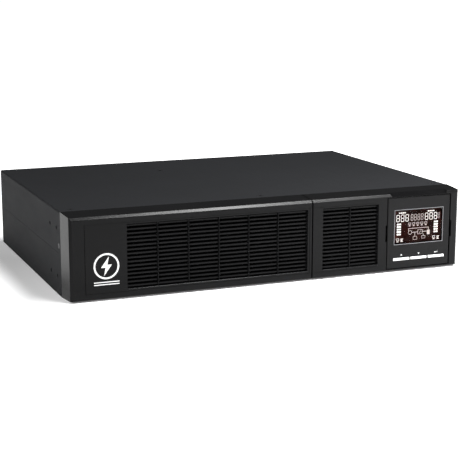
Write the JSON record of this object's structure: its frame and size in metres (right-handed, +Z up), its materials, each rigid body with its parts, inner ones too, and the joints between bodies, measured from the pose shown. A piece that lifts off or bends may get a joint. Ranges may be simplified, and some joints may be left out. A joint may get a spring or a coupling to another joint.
{
  "type": "uninterruptible power supply",
  "caption": "Rack or tower uninterruptible power supply, two rack units high, with louvred bezels, a pull-out display module and a slide-out battery pack.",
  "frame": {"origin": "middle of the underside of the whole object's box", "axes": "+X to the right as seen from the front, -Y is the way the front faces, +Z up"},
  "size_m": [0.438, 0.3164, 0.0865],
  "materials": {
    "case_paint": "fine textured black paint",
    "bezel_plastic": "satin black moulding",
    "display_plastic": "satin black moulding",
    "window_acrylic": "clear acrylic",
    "lcd_glass": "dark backlit display",
    "button_white": "white moulding",
    "plated_steel": "zinc plated",
    "black_screw": "black oxide",
    "steel_screw": "nickel plated",
    "connector_black": "black moulding",
    "connector_grey": "grey moulding",
    "contact_metal": "tin plated",
    "terminal_green": "green moulding",
    "brass": "plain",
    "circuit_board": "green solder mask",
    "card_blue": "blue solder mask",
    "aluminium": "extruded",
    "capacitor_sleeve": "shrunk sleeve",
    "copper_winding": "enamelled copper",
    "transformer_tape": "yellow tape",
    "battery_case": "dark grey moulding",
    "lead_red": "red insulation",
    "ribbon": "flat lead",
    "fan_plastic": "black moulding",
    "catch_nylon": "natural nylon",
    "filter_foam": "black open-cell foam",
    "reset_white": "white moulding"
  },
  "bodies": {
    "chassis": {"base_tray": "case_paint", "top_cover": "case_paint", "rear_panel": "case_paint", "front_plate": "plated_steel", "front_rail": "plated_steel", "bay_divider": "plated_steel", "bay_stop": "plated_steel", "right_bezel": "bezel_plastic", "bezel_filter": "filter_foam", "ear_nuts": "plated_steel", "side_screws": "black_screw", "top_screws": "black_screw", "bezel_screws": "plated_steel", "panel_catches": "catch_nylon", "fan_frame": "fan_plastic", "fan_guard": "steel_screw", "fan_screws": "black_screw", "inlet_shell": "connector_black", "inlet_pins": "contact_metal", "outlets": "connector_black", "breaker_body": "connector_black", "usb_port": "contact_metal", "serial_port": "contact_metal", "network_ports": "connector_black", "epo_terminal": "terminal_green", "slot_cover": "case_paint", "slot_screws": "steel_screw", "earth_stud": "brass", "main_board": "circuit_board", "board_posts": "brass", "heat_sinks": "aluminium", "transistors": "connector_black", "bulk_capacitors": "capacitor_sleeve", "chokes": "copper_winding", "relays": "connector_black", "charger_transformer": "transformer_tape", "control_card": "card_blue", "battery_receptacle": "connector_grey", "rear_panel_screws": "black_screw"},
    "battery_pack": {"battery_tray": "plated_steel", "battery_blocks": "battery_case", "battery_tabs": "contact_metal", "battery_clamp": "plated_steel", "clamp_screws": "steel_screw", "battery_links": "lead_red", "battery_plug": "connector_grey", "tray_pull": "connector_black"},
    "left_panel": {"left_bezel": "bezel_plastic", "door_filter": "filter_foam"},
    "display_module": {"display_housing": "display_plastic", "display_window": "window_acrylic", "lcd_panel": "lcd_glass", "display_board": "circuit_board", "display_screws": "steel_screw", "display_ribbon": "ribbon"},
    "up_button": {"button_up": "button_white"},
    "down_button": {"button_down": "button_white"},
    "enter_button": {"button_enter": "button_white"},
    "fan_rotor": {"fan_rotor": "fan_plastic"},
    "breaker_button": {"reset_button": "reset_white"}
  },
  "joints": [
    {"name": "battery_slide", "type": "slide", "parent": "chassis", "child": "battery_pack", "axis": [0, -1, 0], "range_m": [0, 0.16]},
    {"name": "panel_pull", "type": "slide", "parent": "chassis", "child": "left_panel", "axis": [0, -1, 0], "range_m": [0, 0.2]},
    {"name": "display_pull", "type": "slide", "parent": "chassis", "child": "display_module", "axis": [0, -1, 0], "range_m": [0, 0.016]},
    {"name": "press_up", "type": "slide", "parent": "display_module", "child": "up_button", "axis": [0, 1, 0], "range_m": [0, 0.0008], "stiffness_N_per_m": 300, "springref_m": -0.001},
    {"name": "press_down", "type": "slide", "parent": "display_module", "child": "down_button", "axis": [0, 1, 0], "range_m": [0, 0.0008], "stiffness_N_per_m": 300, "springref_m": -0.001},
    {"name": "press_enter", "type": "slide", "parent": "display_module", "child": "enter_button", "axis": [0, 1, 0], "range_m": [0, 0.0008], "stiffness_N_per_m": 300, "springref_m": -0.001},
    {"name": "fan_spin", "type": "hinge", "parent": "chassis", "child": "fan_rotor", "pos_m": [0.16, 0.1385, 0.04325], "axis": [0, 1, 0], "continuous": true},
    {"name": "breaker_trip", "type": "slide", "parent": "chassis", "child": "breaker_button", "axis": [0, 1, 0], "range_m": [0, 0.003]}
  ],
  "couplings": [
    {"joint": "panel_pull", "follows": "battery_slide", "ratio": 1.25}
  ]
}
